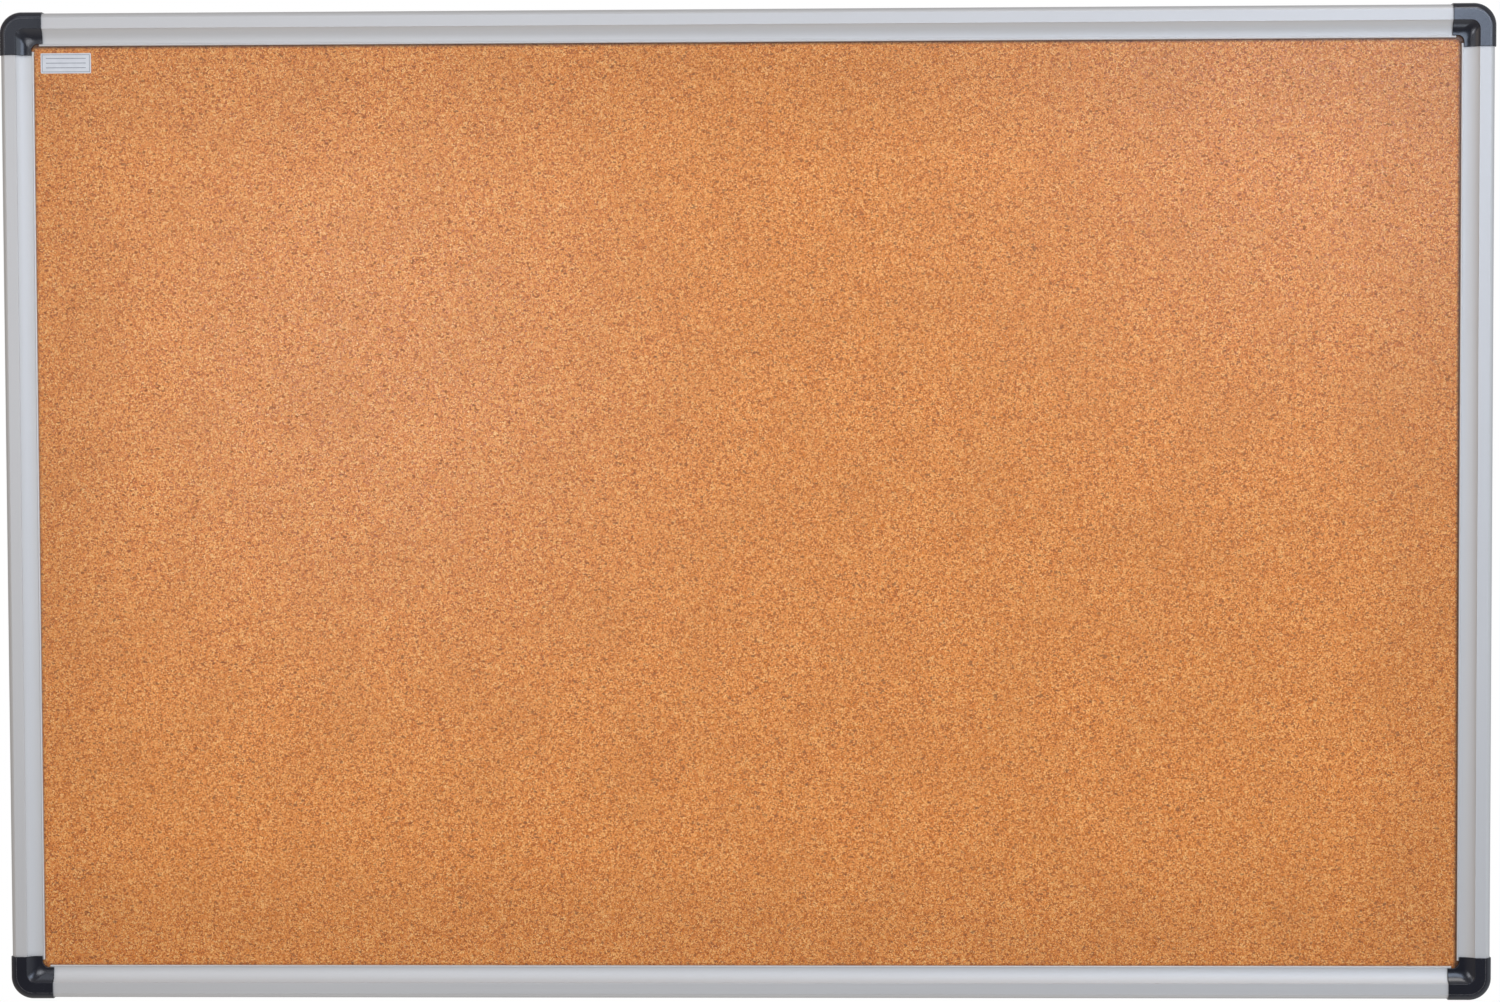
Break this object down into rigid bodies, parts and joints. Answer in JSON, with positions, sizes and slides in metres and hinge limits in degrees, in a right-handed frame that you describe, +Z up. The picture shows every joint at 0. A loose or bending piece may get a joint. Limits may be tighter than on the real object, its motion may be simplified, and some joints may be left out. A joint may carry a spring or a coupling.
{
  "type": "cork bulletin board",
  "caption": "Wall-hung cork pinboard in a satin aluminium frame with pull-off plastic corner caps over concealed wall-screw holes.",
  "frame": {"origin": "middle of the board's rear (wall) plane, which is also the centre of the four wall-screw holes", "axes": "+X to the right as seen from the front along the long side, +Z up along the short side, +Y into the wall, so the cork faces -Y"},
  "size_m": [0.9, 0.016, 0.6],
  "materials": {
    "anodised_frame": "satin",
    "cap_plastic": "satin",
    "bracket_plastic": "matte",
    "screw_steel": "satin",
    "cork": "matte",
    "fibreboard": "matte",
    "backing": "matte",
    "label_film": "satin"
  },
  "bodies": {
    "board": {"rail_top": "anodised_frame", "rail_bottom": "anodised_frame", "rail_left": "anodised_frame", "rail_right": "anodised_frame", "corner_bracket_top_left": "bracket_plastic", "corner_bracket_top_right": "bracket_plastic", "corner_bracket_bottom_left": "bracket_plastic", "corner_bracket_bottom_right": "bracket_plastic", "corner_screws_top_left": "screw_steel", "corner_screws_top_right": "screw_steel", "corner_screws_bottom_left": "screw_steel", "corner_screws_bottom_right": "screw_steel", "cork_sheet": "cork", "core_board": "fibreboard", "backing_sheet": "backing", "label": "label_film"},
    "cap_top_left": {"corner_cap_top_left": "cap_plastic"},
    "cap_top_right": {"corner_cap_top_right": "cap_plastic"},
    "cap_bottom_left": {"corner_cap_bottom_left": "cap_plastic"},
    "cap_bottom_right": {"corner_cap_bottom_right": "cap_plastic"}
  },
  "joints": [
    {"name": "cap_top_left_pull", "type": "slide", "parent": "board", "child": "cap_top_left", "axis": [0, -1, 0], "range_m": [0, 0.03]},
    {"name": "cap_top_right_pull", "type": "slide", "parent": "board", "child": "cap_top_right", "axis": [0, -1, 0], "range_m": [0, 0.03]},
    {"name": "cap_bottom_left_pull", "type": "slide", "parent": "board", "child": "cap_bottom_left", "axis": [0, -1, 0], "range_m": [0, 0.03]},
    {"name": "cap_bottom_right_pull", "type": "slide", "parent": "board", "child": "cap_bottom_right", "axis": [0, -1, 0], "range_m": [0, 0.03]}
  ]
}
